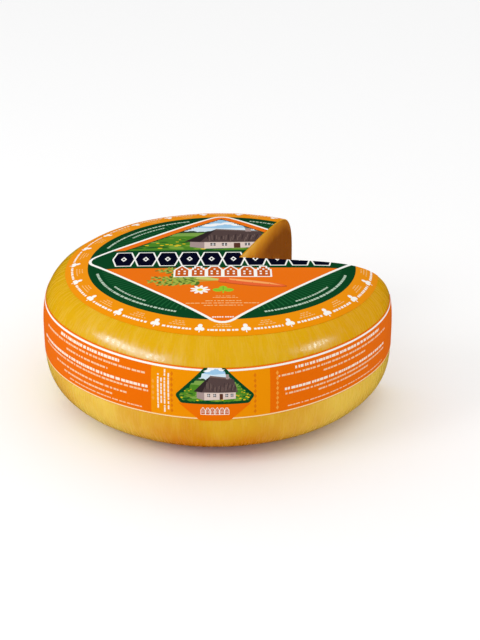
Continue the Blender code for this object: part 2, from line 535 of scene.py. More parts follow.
def label_outline():
    """The label's edge, with the notch taken out."""
    start, end = (paper_end(*wall, LABEL_CENTRE, LABEL_RADIUS) for wall in WALLS)
    middle = (BACK_WALL_DIRECTION + FRONT_WALL_DIRECTION) / 2.0
    half_opening = (BACK_WALL_DIRECTION - FRONT_WALL_DIRECTION) / 2.0
    corner = NOTCH_TIP - LABEL_CENTRE - heading(middle) * PAPER_SETBACK / math.sin(half_opening)
    return arc(LABEL_RADIUS / MM, start, end + 2.0 * math.pi, LABEL_EDGE_STEPS) + [tuple(corner / MM)]


def arc_of_bars(art, colour, share, start, end, thickness, chance, longest):
    """A bent row of bars between two angles in degrees, at a share of the way across the ring."""
    along = start
    while along < end - 0.4:
        length = min(chance.uniform(0.7, longest), end - along)
        radius = ring_radius(share, along + length / 2.0)
        art.add(colour, arc_bar(radius, along, along + length, thickness))
        along += length + chance.choice((0.3, 0.3, 0.6))


def disc_reach(turn):
    """Distance from the label's middle to the green disc's edge, at an angle in radians."""
    across, along = math.cos(turn) / DISC_HALF_WIDTH, math.sin(turn) / DISC_HALF_LENGTH
    square = across ** 2 + along ** 2
    off = DISC_MIDDLE / DISC_HALF_LENGTH
    return (along * off + math.sqrt((along * off) ** 2 + square * (1.0 - off ** 2))) / square


def ring_radius(share, degrees):
    """A radius between the disc's edge, at share 0, and near the label's edge, at share 1."""
    inner = disc_reach(math.radians(degrees))
    share *= 1.0 - 0.28 * max(math.sin(math.radians(degrees)), 0.0)
    return inner + share * (LABEL_RADIUS / MM - inner)


def draw_ring(art, chance):
    """Small white motifs with rows of bars between them, all the way round the orange ring."""
    period = 360.0 / RING_MOTIFS
    for number in range(RING_MOTIFS):
        angle = -90.0 + period * (number + 0.5)
        turn = math.radians(angle)
        add_clover(art, *spot(ring_radius(0.58, angle), turn), turn + math.pi / 2.0, 0.98)
        middle = angle + period / 2.0
        arc_of_bars(art, "white", 0.69, middle - 5.4, middle + 5.4, 1.5, chance, 1.3)
        for share, reach in ((0.48, 3.4), (0.36, 2.5), (0.24, 1.8)):
            arc_of_bars(art, "pale_orange", share, middle - reach, middle + reach, 0.7, chance, 1.1)


def fitted_to_disc(outline):
    """An outline drawn for a circle as wide as the disc, moved onto the disc, which isn't quite round."""
    return [(x, DISC_MIDDLE + y * DISC_HALF_LENGTH / DISC_HALF_WIDTH) for x, y in outline]


def draw_disc(art, chance):
    """The dark green disc, with a fine sunburst and rows of small bars along its edge."""
    art.add("deep_green", fitted_to_disc(ellipse(0.0, 0.0, DISC_HALF_WIDTH, steps=DISC_STEPS)))
    for ray in range(DISC_RAYS):
        turn = 2.0 * math.pi * (ray + 0.5) / DISC_RAYS
        outline = placed([(60.0, -0.22), (85.0, -0.42), (85.0, 0.42), (60.0, 0.22)], 0.0, 0.0, turn)
        art.add("ray_green", fitted_to_disc(outline))
    for corner in (-138.0, -44.0, 46.0, 136.0):
        arc_of_bars(art, "pale_green", -0.40, corner - 28.0, corner + 28.0, 1.8, chance, 2.0)
        arc_of_bars(art, "pale_green", -0.71, corner - 11.0, corner + 11.0, 1.4, chance, 1.6)


def draw_lozenge(art, chance):
    """The white-edged lozenge: a landscape above, a cross band, and an orange field below."""
    art.add("white", rounded(LOZENGE, LOZENGE_ROUNDING))
    within = rounded(outset(LOZENGE, -LOZENGE_LINE), LOZENGE_ROUNDING - LOZENGE_LINE)
    art.add("orange", within)
    art.add("deep_green", outset(LOZENGE, -LOZENGE_LINE - STRIP_WIDTH))
    view = outset(LOZENGE, -LOZENGE_LINE - STRIP_WIDTH - FINE_LINE)
    add_landscape(art, view, 0.0, CROSS_BAND[1], 126.0, chance)
    low, high = CROSS_BAND
    art.add("orange", rectangle(-PAST_LOZENGE, -PAST_LOZENGE, PAST_LOZENGE, low), within)
    art.add("deep_green", rectangle(-PAST_LOZENGE, low, PAST_LOZENGE, high), within)
    places = [CROSS_PITCH * (number - (CROSS_BLOCKS - 1) / 2.0) + 0.5 for number in range(CROSS_BLOCKS)]
    for x in places:
        art.add("white", outset(placed(CROSS_BLOCK, x, 0.0), CROSS_EDGE))
    for x in places:
        art.add("navy", placed(CROSS_BLOCK, x, 0.0))
        for colour, wide, high in (("white", 2.2, 4.3), ("navy", 1.0, 2.1)):
            art.add(colour, lozenge(x, 1.3, wide, high))
    add_carrot(art, -1.0, -36.0, math.radians(-13.2), chance)
    add_house_row(art, 0.5, -20.6, 1.0)
    add_daisy(art, -15.1, -52.1, 1.08)
    add_sprig(art, 0.6, -52.0)
    for x, y, width, thickness in ((2.0, -62.4, 13.0, 0.7), (2.0, -64.8, 17.0, 0.7), (0.6, -69.8, 24.0, 1.0),
                                   (0.6, -73.2, 50.0, 1.0), (0.6, -76.6, 26.0, 1.0)):
        row_of_bars(art, "pale_orange", x, y, width, thickness, chance)
    row_of_bars(art, "white", 0.6, -92.4, 15.0, 1.3, chance, longest=1.2)


def draw_label():
    art = Drawing(label_outline(), "ring_orange", LABEL_STEP)
    chance = random.Random(7)
    draw_ring(art, chance)
    draw_disc(art, chance)
    draw_lozenge(art, chance)
    return art


# The side band. x runs along the wheel from the front, and y is the height above the base.
BAND_LOW, BAND_HIGH = BAND_LOWER_EDGE / MM, BAND_UPPER_EDGE / MM
BAND_LINES = ((37.15, 37.95), (71.0, 72.25))
REPEAT = math.pi * WHEEL_RADIUS / MM
EMBLEM_X = -2.4
EMBLEM_TOP, EMBLEM_WIDE, EMBLEM_FOOT = (4.9, 75.3), (26.1, 53.7), (22.2, 48.1)
TAB_TOP, TAB_FOOT = (23.7, 48.1), (9.6, 36.0)
EMBLEM_BORDER = 2.1
EMBLEM_ROUNDING = 2.4
CENTRE_LEFT, CENTRE_RIGHT = -44.6, 33.8
FAINT_PITCH = 3.7
BAND_END_POINTS = 9
BAND_STEP = 2.8
CUT_PASSES = 4


def cut_side(direction, side, height):
    """Where a notch wall cuts the band at a height, in millimetres along the wheel from the front."""
    turn = direction
    for _ in range(CUT_PASSES):
        turn = paper_end(direction, side, 0.0, float(side_radius(band_height(height * MM, turn))))
    travelled = turn + math.pi / 2.0
    if side > 0.0:
        travelled -= 2.0 * math.pi
    return travelled * WHEEL_RADIUS / MM


def band_outline():
    """The band's edge: straight but for the foot of each emblem's tab, and cut off at the notch."""
    levels = np.linspace(BAND_LOW, BAND_HIGH, BAND_END_POINTS).tolist()
    left, right = ([(cut_side(*wall, y), y) for y in levels] for wall in WALLS)
    slope = (EMBLEM_FOOT[0] - TAB_FOOT[0]) / (EMBLEM_FOOT[1] - TAB_FOOT[1])
    at_edge = TAB_FOOT[0] + slope * (BAND_LOW - TAB_FOOT[1])
    lower = []
    for x in (EMBLEM_X - REPEAT, EMBLEM_X):
        lower += [(x - at_edge, BAND_LOW), (x - TAB_FOOT[0], TAB_FOOT[1]), (x + TAB_FOOT[0], TAB_FOOT[1]),
                  (x + at_edge, BAND_LOW)]
    return lower + right + left[::-1]


def draw_emblem(art, x, chance):
    """A landscape in a dark green border, cut off by the band's upper edge, over a tab with small houses."""
    art.add("orange", mirrored(x, [TAB_FOOT, TAB_TOP]))
    border = mirrored(x, [EMBLEM_FOOT, EMBLEM_WIDE, EMBLEM_TOP])
    art.add("deep_green", rounded(border, EMBLEM_ROUNDING, 3))
    add_landscape(art, outset(border, -EMBLEM_BORDER), x - 1.0, EMBLEM_FOOT[1] + 1.4, 58.0, chance)
    add_house_row(art, x, 43.2, 0.27)


# Rows of small bars on the band's darker panels: the row's middle, its width, and its thickness
LEFT_ROWS = ((-98.6, 68.3, 60.0, 1.8), (-101.0, 65.0, 104.0, 1.25), (-98.6, 60.8, 42.0, 1.25),
             (-102.5, 56.0, 112.0, 1.8), (-100.6, 53.0, 108.0, 1.25), (-98.6, 48.0, 72.0, 1.25),
             (-98.6, 44.0, 50.0, 1.25), (-84.0, 40.5, 65.0, 0.8))
RIGHT_ROWS = ((93.6, 67.9, 84.0, 1.8), (93.6, 64.2, 108.0, 1.25), (93.6, 60.1, 41.0, 1.25),
              (93.6, 54.0, 99.5, 1.8), (93.6, 50.4, 98.5, 1.25), (93.6, 46.9, 49.0, 1.25),
              (93.6, 41.0, 95.0, 0.8))
BOLD = 1.5
# Upright rows: how far right of the middle panel's left edge, the row's middle height, and its length
UPRIGHT_ROWS = ((4.8, 54.3, 24.2), (7.0, 55.3, 18.4), (9.3, 54.9, 29.8), (11.9, 54.9, 25.4))


def draw_band():
    art = Drawing(band_outline(), "band_orange", BAND_STEP)
    chance = random.Random(11)
    for start in (-REPEAT, 0.0):
        left, right = start + CENTRE_LEFT, start + CENTRE_RIGHT
        art.add("ring_orange", rectangle(left, BAND_LOW, right, BAND_HIGH))
        for x, y, width, thickness in LEFT_ROWS + RIGHT_ROWS:
            colour = "bold_print" if thickness > BOLD else "pale_print"
            row_of_bars(art, colour, start + x, y, width, thickness, chance)
        for x, y, width in UPRIGHT_ROWS:
            row_of_bars(art, "bold_print", left + x, y, width, 1.0, chance, math.pi / 2.0)
        for x, low, high, colour in ((left + 1.4, 46.7, 62.6, "faint_light"),
                                     (left + 14.1, 39.9, 69.4, "faint_dark"),
                                     (right - 10.0, 39.6, 69.1, "faint_dark"),
                                     (right + 5.0, 39.6, 68.5, "faint_light")):
            count = round((high - low) / FAINT_PITCH)
            for number in range(count):
                art.add(colour, lozenge(x, low + (high - low) * (number + 0.5) / count, 1.0, 1.7))
    lower, upper = BAND_LINES
    for colour, low, high in (("cream", *lower), ("white", *upper), ("orange", BAND_LOW, lower[0]),
                              ("orange", upper[1], BAND_HIGH)):
        art.add(colour, rectangle(-2.0 * REPEAT, low, 2.0 * REPEAT, high))
    for start in (-REPEAT, 0.0):
        draw_emblem(art, start + EMBLEM_X, chance)
    return art


# The wheel's mesh
TURN_STEPS = 330
OUTLINE_STEP = 0.0017
TOP_ROWS = 24
RIM_START = 0.094
TOP_SAMPLES, SIDE_SAMPLES, BASE_SAMPLES = 400, 600, 500
TURNS_BESIDE_WALL = np.radians([0.0, 0.03, 0.08, 0.15, 0.25, 0.4, 0.65, 1.0])
TIP_STEPS = 50
CALM_HEIGHT = 0.004
SHARP_ANGLE = math.radians(50.0)

# The cut faces: distances in millimetres, and how dark their paste is, from 0 to 1: a crust near the rind,
# and on the notch's back wall painted shade
WALL_STEP = 1.7
WALL_WIDTH = 112.0
WALL_MERGE_DISTANCE = 1e-5
EDGE_CLEARANCE = 0.7
WAVE_FADE, PIT_FADE = 6.0, 2.0
SPOT_JITTER = 0.2
PITS = 30
PITS_ACROSS, PITS_UP = (4.0, 104.0), (4.0, 91.0)
SMALL_PIT, LARGE_PIT = (0.3, 0.65), (0.8, 1.2)
PIT_SPACING = 1.5
# Rings round a pit's middle: how wide and how deep each one is, as shares of the pit's radius
PIT_RINGS = ((1.25, 0.0), (1.0, 0.1875), (0.75, 0.5625), (0.4, 0.75))
PIT_DEPTH = 0.8
PIT_CLEARANCE = 1.5
RING_POINTS = 10
TIP_CLEARANCE = 0.5
GOLDEN = 0.12
FRONT_WALL_BROWNING = 0.26
FRONT_WALL_CRUST = 14.0
# Painted shade on the back wall: weights for the distance out from the tip and down from the top, where it
# starts and how far it runs, how deep it keeps darkening, and how much paler the middle stays
OUTWARD_WEIGHT, DOWNWARD_WEIGHT = 0.7, 4.0
SHADE_START, SHADE_SPAN = 19.0, 100.0
SHADE_DEPTH_CAP, EDGE_SHADE_DEPTH_CAP = 15.0, 6.0
PALE_START, PALE_REACH, PALE_SHARE = 20.0, 28.0, 0.75


def even_points(points, step):
    """The same line with points at even distances along it."""
    points = np.array(points)
    run = np.concatenate([[0.0], np.cumsum(np.linalg.norm(np.diff(points, axis=0), axis=1))])
    stops = np.linspace(0.0, run[-1], max(2, round(run[-1] / step)) + 1)
    return np.column_stack([np.interp(stops, run, points[:, n]) for n in range(points.shape[1])])


def rim_section():
    """The wheel's section from a little inside the rim, over the shoulder, and down to the flat base."""
    radii = RIM_START + (WHEEL_RADIUS - RIM_START) * np.sin(np.linspace(0.0, math.pi / 2.0, TOP_SAMPLES))
    top = np.column_stack([radii, dome_height(radii)])
    drop = np.linspace(WHEEL_HEIGHT - WIDEST_HEIGHT, 0.0, SIDE_SAMPLES)[1:-1] + WIDEST_HEIGHT
    drop = drop[drop < dome_height(RIM_START + 0.8 * (WHEEL_RADIUS - RIM_START))]
    top = top[top[:, 1] > drop[0]]
    side = np.column_stack([side_radius(drop), drop])
    below = WIDEST_HEIGHT * (1.0 - np.sin(np.linspace(0.0, math.pi / 2.0, BASE_SAMPLES)))
    base = np.column_stack([side_radius(below), below])
    return even_points(np.concatenate([top, side, base]), OUTLINE_STEP)


def section_normals(section):
    """Outward normals along a section that runs from the top, down the side, to the base."""
    run = np.gradient(section, axis=0)
    normals = np.column_stack([-run[:, 1], run[:, 0]])
    return normals / np.linalg.norm(normals, axis=1)[:, None]


def wheel_columns():
    """Turning angles about the notch's tip, closer together beside its walls."""
    start, end = BACK_WALL_DIRECTION, FRONT_WALL_DIRECTION + 2.0 * math.pi
    near, first = TURNS_BESIDE_WALL[:-1], TURNS_BESIDE_WALL[-1]
    return np.concatenate([start + near, np.linspace(start + first, end - first, TURN_STEPS),
                           (end - near)[::-1]])


def wheel_points():
    """A grid over the whole outside: for each turning angle, a row of points from the tip out and back.

    Returns the points and the way that the surface faces at each of them.
    """
    section = rim_section()
    normals = section_normals(section)
    inner = np.linspace(0.0, 1.0, TOP_ROWS + 1)[:-1]
    upwards = np.array([[0.0, 0.0, 1.0]] * TOP_ROWS)
    rows, facings = [], []
    for angle in wheel_columns():
        way = heading(angle)
        reach = to_circle(NOTCH_TIP, way, section[:, 0])
        top_flat, rim_flat, base_flat = (NOTCH_TIP + np.outer(distance, way) for distance in
                                         (reach[0] * inner, reach, reach[-1] * inner[::-1]))
        top = np.column_stack([top_flat, dome_height(np.hypot(*top_flat.T))])
        base = np.column_stack([base_flat, np.zeros(TOP_ROWS)])
        rows.append(np.concatenate([top, np.column_stack([rim_flat, section[:, 1]]), base]))
        outward = rim_flat / section[:, 0:1]
        rim_facing = np.column_stack([outward * normals[:, 0:1], normals[:, 1]])
        facings.append(np.concatenate([upwards, rim_facing, -upwards]))
    return np.array(rows), np.array(facings)


def wall_distance(points):
    """Distance of points from the nearer wall of the notch, as planes through its tip."""
    flat = points[:, :2] - NOTCH_TIP
    nearest = np.full(len(flat), np.inf)
    for direction, _ in WALLS:
        way = heading(direction)
        off = np.abs(flat @ left_of(way))
        nearest = np.minimum(nearest, np.where(flat @ way > 0.0, off, np.hypot(*flat.T)))
    return nearest


def rind_relief(grid, facing):
    """The rind's swells and ripples, and the soft edge where a knife went in. The base stays flat."""
    points, normals = grid.reshape(-1, 3), facing.reshape(-1, 3)
    ripple = np.array([noise.noise(Vector(point) * RIPPLE_SCALE) for point in points]) * RIPPLE_DEPTH
    gap = np.minimum(wall_distance(points), CUT_EDGE_ROUNDING)
    drop = CUT_EDGE_ROUNDING - np.sqrt(CUT_EDGE_ROUNDING ** 2 - (CUT_EDGE_ROUNDING - gap) ** 2)
    moved = swollen(points, normals) + normals * (ripple - drop)[:, None]
    calm = np.clip(points[:, 2:3] / CALM_HEIGHT, 0.0, 1.0)
    return (points * (1.0 - calm) + moved * calm).reshape(grid.shape)


def scattered_pits(chance):
    """Small pits in a cut face that keep clear of each other: the place and the radius of each."""
    pits = []
    while len(pits) < PITS:
        x, y = chance.uniform(*PITS_ACROSS), chance.uniform(*PITS_UP)
        radius = chance.uniform(*(SMALL_PIT if len(pits) % 6 else LARGE_PIT))
        if all(math.hypot(x - px, y - py) > radius + pr + PIT_SPACING for px, py, pr in pits):
            pits.append((x, y, radius))
    return pits


def wall_spots(chance):
    """Points all over a cut face, with rings of them round each pit, and how deep each lies in a pit."""
    pits = scattered_pits(chance)
    spots, depth = [], []
    for x, y, radius in pits:
        squash, turn = chance.uniform(0.5, 0.95), chance.uniform(0.0, math.pi)
        for ring, sunk in PIT_RINGS:
            spots += ellipse(x, y, radius * ring, radius * ring * squash, turn, RING_POINTS)
            depth += [radius * sunk] * RING_POINTS
        spots.append((x, y))
        depth.append(radius * PIT_DEPTH)
    for row, y in enumerate(np.arange(1.0, WHEEL_HEIGHT / MM, WALL_STEP)):
        for x in np.arange(1.0 + (row % 2) * WALL_STEP / 2.0, WALL_WIDTH, WALL_STEP):
            across, up = (place + chance.uniform(-SPOT_JITTER, SPOT_JITTER) for place in (x, y))
            if all(math.hypot(across - px, up - py) > pr * PIT_CLEARANCE for px, py, pr in pits):
                spots.append((across, up))
                depth.append(0.0)
    return np.array(spots), np.array(depth)


def wall_waves(spots, across_scale, up_scale, seed):
    return np.array([noise.noise(Vector((x * across_scale, y * up_scale, seed))) for x, y in spots])


def wall_patch(edge, direction, side, chance):
    """A cut face inside the closed line of its edge, with waves from the knife and small pits.

    Returns new points, triangles whose numbers count the edge's points first, and the points' darkening:
    crust, and on the back wall painted shade.
    """
    way = heading(direction)
    border = np.column_stack([(edge[:, :2] - NOTCH_TIP) @ way, edge[:, 2]]) / MM
    outline = border.tolist()
    spots, depth = wall_spots(chance)
    from_rind = border_distance(spots, border)
    kept = inside(spots, outline) & (from_rind > EDGE_CLEARANCE)
    spots, depth, from_rind = spots[kept], depth[kept], from_rind[kept]
    loop = [(n, (n + 1) % len(outline)) for n in range(len(outline))]
    _, faces, numbers = filled(outline + spots.tolist(), loop, outline, WALL_MERGE_DISTANCE)
    wave = wall_waves(spots, 0.05, 0.02, 7.0 * side) + 0.35 * wall_waves(spots, 0.25, 0.03, 3.0 * side)
    off = (wave * np.clip(from_rind / WAVE_FADE, 0.0, 1.0) * CUT_WAVE_DEPTH
           - depth * MM * np.clip(from_rind / PIT_FADE, 0.0, 1.0))
    flat_place = NOTCH_TIP + np.outer(spots[:, 0] * MM, way) - np.outer(off, side * left_of(way))
    made = np.column_stack([flat_place, spots[:, 1] * MM])
    # The front wall's paste darkens only in a crust near the rind.
    crust_and_shade = FRONT_WALL_BROWNING * np.clip(1.0 - from_rind / FRONT_WALL_CRUST, 0.0, 1.0)
    # The back wall's paste gets painted shade instead: darker outwards from the tip and downwards from the
    # top, with some crust near the rind.
    if side > 0.0:
        top = dome_height(np.hypot(*flat_place.T))
        crust_and_shade = cut_crust_and_shade(spots[:, 0], (top - made[:, 2]) / MM, from_rind)
    return made, np.array(numbers)[faces].tolist(), crust_and_shade


def border_distance(points, border):
    """Distance of points from a closed line, leaving out its straight side at the notch's tip."""
    starts, ends = border, np.roll(border, -1, axis=0)
    outside = (starts[:, 0] > TIP_CLEARANCE) | (ends[:, 0] > TIP_CLEARANCE)
    starts, ends = starts[outside], ends[outside]
    nearest = np.full(len(points), np.inf)
    for start, end in zip(starts, ends):
        run = end - start
        share = np.clip((points - start) @ run / (run @ run), 0.0, 1.0)
        nearest = np.minimum(nearest, np.linalg.norm(points - start - share[:, None] * run, axis=1))
    return nearest


def cut_crust_and_shade(outwards, depth, from_rind):
    """How dark the cut paste is, by distances in mm from the tip, below the top and from the rind.

    It is golden along its top edge and in its middle, and brown near the side and lower down: painted shade,
    as in a notch in shadow, with some crust near the rind.
    """
    share = OUTWARD_WEIGHT * outwards + DOWNWARD_WEIGHT * np.clip(depth, 0.0, SHADE_DEPTH_CAP) - SHADE_START
    inner = np.clip((from_rind - PALE_START) / PALE_REACH, 0.0, 1.0)
    share *= (1.0 - PALE_SHARE * inner * inner * (3.0 - 2.0 * inner)) / SHADE_SPAN
    return GOLDEN + (1.0 - GOLDEN) * np.clip(share, 0.0, 1.0)


def turn_outwards(mesh):
    """Turn every face of a closed mesh outwards."""
    shell = bmesh.new()
    shell.from_mesh(mesh)
    bmesh.ops.recalc_face_normals(shell, faces=shell.faces)
    shell.to_mesh(mesh)
    shell.free()


def build_wheel(rind, paste):
    """The wheel as one closed mesh, with the rind outside and bare paste on the notch's two walls."""
    grid = rind_relief(*wheel_points())
    columns, rows = grid.shape[:2]
    tip_top, tip_base = grid[0, 0], grid[0, -1]
    points = [tip_top, tip_base, *grid[:, 1:-1].reshape(-1, 3)]
    number = np.zeros((columns, rows), int)
    number[:, -1] = 1
    number[:, 1:-1] = 2 + np.arange(columns * (rows - 2)).reshape(columns, rows - 2)
    polygons = []
    for near, far in zip(number.tolist(), number[1:].tolist()):
        for row in range(rows - 1):
            face = (near[row], near[row + 1], far[row + 1], far[row])
            polygons.append([corner for n, corner in enumerate(face) if corner != face[n - 1]])
    rind_count = len(polygons)
    tip_numbers = [len(points) + n for n in range(TIP_STEPS - 1)]
    points += [tip_top + (tip_base - tip_top) * n / TIP_STEPS for n in range(1, TIP_STEPS)]
    # Points on the rim and the tip line take the back wall's painted shade, counted only a little way down
    # from the top.
    outwards = np.hypot(*(np.array(points)[:, :2] - NOTCH_TIP).T) / MM
    depth = (WHEEL_HEIGHT - np.array(points)[:, 2]) / MM
    crust_and_shade = list(cut_crust_and_shade(outwards, np.minimum(depth, EDGE_SHADE_DEPTH_CAP), 0.0))
    chance = random.Random(5)
    for column, (direction, side) in zip((0, -1), WALLS):
        edge_numbers = number[column].tolist() + tip_numbers[::-1]
        edge = np.array([points[n] for n in edge_numbers])
        inner, triangles, brown = wall_patch(edge, direction, side, chance)
        lookup = edge_numbers + [len(points) + n for n in range(len(inner))]
        points += list(inner)
        crust_and_shade += list(brown)
        polygons += [[lookup[corner] for corner in face] for face in triangles]
    wheel = add_mesh("cheese_wheel", [tuple(point) for point in points], polygons)
    turn_outwards(wheel.data)
    for material in (rind, paste):
        wheel.data.materials.append(material)
    slots = [0] * rind_count + [1] * (len(wheel.data.polygons) - rind_count)
    wheel.data.polygons.foreach_set("material_index", slots)
    # Each point's crust and painted shade, read by the paste's material.
    crust_and_shade_layer = wheel.data.attributes.new("crust_and_shade", "FLOAT", "POINT")
    crust_and_shade_layer.data.foreach_set("value", crust_and_shade)
    wheel.data.shade_smooth()
    wheel.data.set_sharp_from_angle(angle=SHARP_ANGLE)
    return wheel


# Materials

def linear(red, green, blue):
    """A screen colour, 0 to 255, as the light that it stands for."""
    def channel(value):
        share = value / 255.0
        return share / 12.92 if share <= 0.04045 else ((share + 0.055) / 1.055) ** 2.4
    return (channel(red), channel(green), channel(blue), 1.0)


PRINT_COLOURS = {
    "ring_orange": (246, 150, 2), "orange": (243, 116, 2), "pale_orange": (250, 196, 128),
    "brown_orange": (204, 92, 16), "deep_green": (6, 74, 36), "ray_green": (34, 106, 58),
    "pale_green": (190, 212, 190), "white": (255, 254, 248), "navy": (8, 10, 38), "sky": (160, 204, 236),
    "pale_sky": (216, 234, 246), "cloud": (250, 251, 252), "woods": (52, 82, 52), "far_field": (128, 168, 76),
    "meadow": (80, 138, 36), "meadow_dark": (38, 100, 34), "meadow_light": (124, 166, 50),
    "yellow": (250, 206, 34), "wall": (226, 206, 196), "wall_shade": (170, 148, 144), "door": (96, 56, 42),
    "thatch": (88, 70, 68), "thatch_dark": (54, 42, 44), "thatch_light": (120, 100, 94),
    "carrot": (242, 104, 50), "carrot_light": (255, 172, 96), "carrot_dark": (206, 88, 28),
    "leaf_light": (166, 184, 74), "leaf_mid": (124, 152, 52), "leaf_dark": (86, 120, 42),
    "light_green": (150, 204, 44), "stalk": (204, 206, 108), "band_orange": (242, 113, 2),
    "bold_print": (255, 240, 222), "pale_print": (250, 206, 168), "cream": (252, 230, 176),
    "faint_dark": (226, 122, 12), "faint_light": (250, 164, 62), "bare_paper": (240, 232, 214),
}
PRINT_STRENGTH = 0.86

# The rind's colours from low to high on the wheel, and those mixed into them: milky clouds, brush strokes, a
# painted sheen low at the sides and painted shade high on the right
RIND_SHADES = ((0.17, (206, 106, 10)), (0.25, (208, 120, 4)), (0.34, (208, 136, 5)), (0.45, (213, 156, 10)),
               (0.58, (216, 164, 9)), (0.72, (217, 165, 5)))
SIDE_SHEEN_WAX, MILKY_WAX, BRUSHED_WAX, RIGHT_SHADE_WAX = (236, 206, 92), (232, 194, 76), (232, 188, 56), (219, 152, 1)

# The paste's colours from pale to dark brown: the dark ones stand for crust near the rind and for painted
# shade on the notch's back wall
PASTE_SHADES = ((0.0, (250, 216, 134)), (GOLDEN, (240, 186, 76)), (0.34, (220, 152, 28)),
                (0.6, (184, 111, 2)), (1.0, (112, 50, 0)))


def new_material(name):
    material = bpy.data.materials.new(name)
    material.use_nodes = True
    tree = material.node_tree
    return material, tree, tree.nodes["Principled BSDF"]


def feed(socket, value):
    """Link an input to another node's output, or set it to a value."""
    if isinstance(value, bpy.types.NodeSocket):
        socket.id_data.links.new(value, socket)
    else:
        socket.default_value = value


def set_up(made, **values):
    """Set some of a node's inputs and settings. In an input's name, _ stands for a space."""
    for key, value in values.items():
        name = key.replace("_", " ")
        if name in made.inputs:
            feed(made.inputs[name], value)
        else:
            setattr(made, key, value)
    return made


def node(tree, kind, **values):
    return set_up(tree.nodes.new(kind), **values)


def worked_out(made, *values):
    """The result of a node that works something out from its first inputs."""
    for socket, value in zip(made.inputs, values):
        feed(socket, value)
    return made.outputs[0]


def arithmetic(operation, first, second):
    """The result of a Math node, kept between 0 and 1."""
    made = node(first.id_data, "ShaderNodeMath", operation=operation, use_clamp=True)
    return worked_out(made, first, second)


def times(first, second):
    return arithmetic("MULTIPLY", first, second)


def plus(first, second):
    return arithmetic("ADD", first, second)


def minus(first, second):
    return arithmetic("SUBTRACT", first, second)


def vector_step(operation, first, *others):
    return worked_out(node(first.id_data, "ShaderNodeVectorMath", operation=operation), first, *others)


def split(vector):
    """A vector's X, Y and Z, by name."""
    return node(vector.id_data, "ShaderNodeSeparateXYZ", Vector=vector).outputs


def noise_on(vector, scale, detail):
    made = node(vector.id_data, "ShaderNodeTexNoise", Scale=scale, Detail=detail, Vector=vector)
    return made.outputs["Fac"]


def ranged(value, low, high, to_low=0.0, to_high=1.0, interpolation="SMOOTHSTEP"):
    """A value between low and high, moved to the range between to_low and to_high."""
    return node(value.id_data, "ShaderNodeMapRange", interpolation_type=interpolation, Value=value,
                From_Min=low, From_Max=high, To_Min=to_low, To_Max=to_high).outputs["Result"]


def bump(height, strength, distance):
    """The normal of a surface with fine relief on it."""
    return node(height.id_data, "ShaderNodeBump", Strength=strength, Distance=distance,
                Height=height).outputs["Normal"]


def colour_ramp(value, stops):
    made = node(value.id_data, "ShaderNodeValToRGB", Fac=value)
    elements = made.color_ramp.elements
    while len(elements) < len(stops):
        elements.new(1.0)
    for element, (position, colour) in zip(elements, stops):
        element.position = position
        element.color = linear(*colour)
    return made.outputs["Color"]


def mixed(factor, first, second):
    """A node's colour mixed with a screen colour, by a factor."""
    made = node(factor.id_data, "ShaderNodeMix", data_type="RGBA")
    for index, value in ((0, factor), (6, first), (7, linear(*second))):
        feed(made.inputs[index], value)
    return made.outputs[2]


def object_place(tree):
    return node(tree, "ShaderNodeTexCoord").outputs["Object"]


def printed_material(name, colour):
    """Ink on dull paper: one colour, with a faint grain that breaks up its shine."""
    material, tree, shader = new_material("print_" + name)
    grain = noise_on(object_place(tree), 900.0, 3.0)
    set_up(shader, Base_Color=[PRINT_STRENGTH * share for share in linear(*colour)[:3]] + [1.0],
           Specular_IOR_Level=0.02, Roughness=ranged(grain, 0.0, 1.0, 0.42, 0.62, "LINEAR"),
           Normal=bump(grain, 0.1, 0.0002))
    return material


